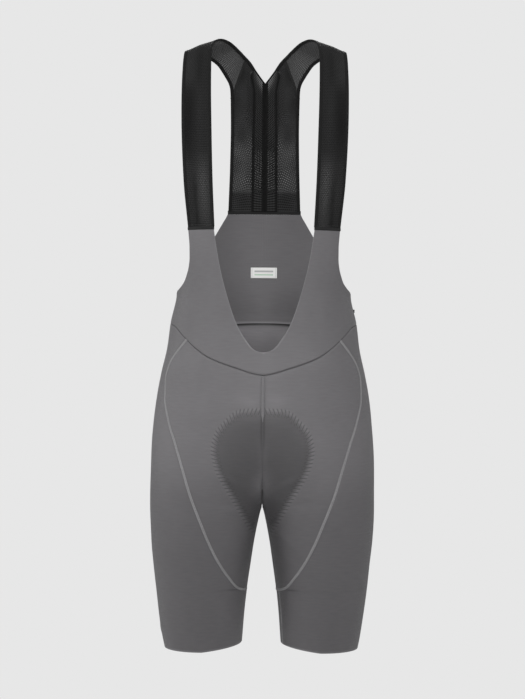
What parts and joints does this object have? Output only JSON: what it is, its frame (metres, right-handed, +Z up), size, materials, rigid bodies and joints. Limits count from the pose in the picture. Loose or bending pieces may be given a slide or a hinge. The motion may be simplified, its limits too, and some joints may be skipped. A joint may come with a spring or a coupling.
{
  "type": "cycling bib shorts",
  "caption": "Hollow worn-form cycling bib shorts: knit legs and V-necked bib, mesh shoulder straps meeting in a racer back, padded insert at the crotch.",
  "frame": {"origin": "on the wearer's mid-plane, between the undersides of the two shoulder straps where they cross the top of the shoulders", "axes": "+Z up, the wearer faces -Y, +X towards the wearer's left"},
  "size_m": [0.346, 0.2288, 0.9434],
  "materials": {
    "grey_knit": "smooth warp knit, faint sheen",
    "black_mesh": "open mesh",
    "black_trim": "matte elastic binding",
    "pad_foam": "brushed face over foam",
    "label_white": "woven satin"
  },
  "bodies": {
    "root": {"bib_front": "grey_knit", "back_upper": "grey_knit", "back_lower": "grey_knit", "front_leg_left": "grey_knit", "front_leg_right": "grey_knit", "side_leg_left": "grey_knit", "side_leg_right": "grey_knit", "chamois": "pad_foam", "strap_left": "black_mesh", "strap_right": "black_mesh", "strap_end_left": "black_trim", "strap_end_right": "black_trim", "racer_left": "black_mesh", "racer_right": "black_mesh", "racer_strip_left": "black_mesh", "racer_strip_right": "black_mesh", "racer_tape": "black_trim", "racer_band": "black_trim", "label": "label_white", "side_tab": "black_trim"}
  },
  "joints": []
}
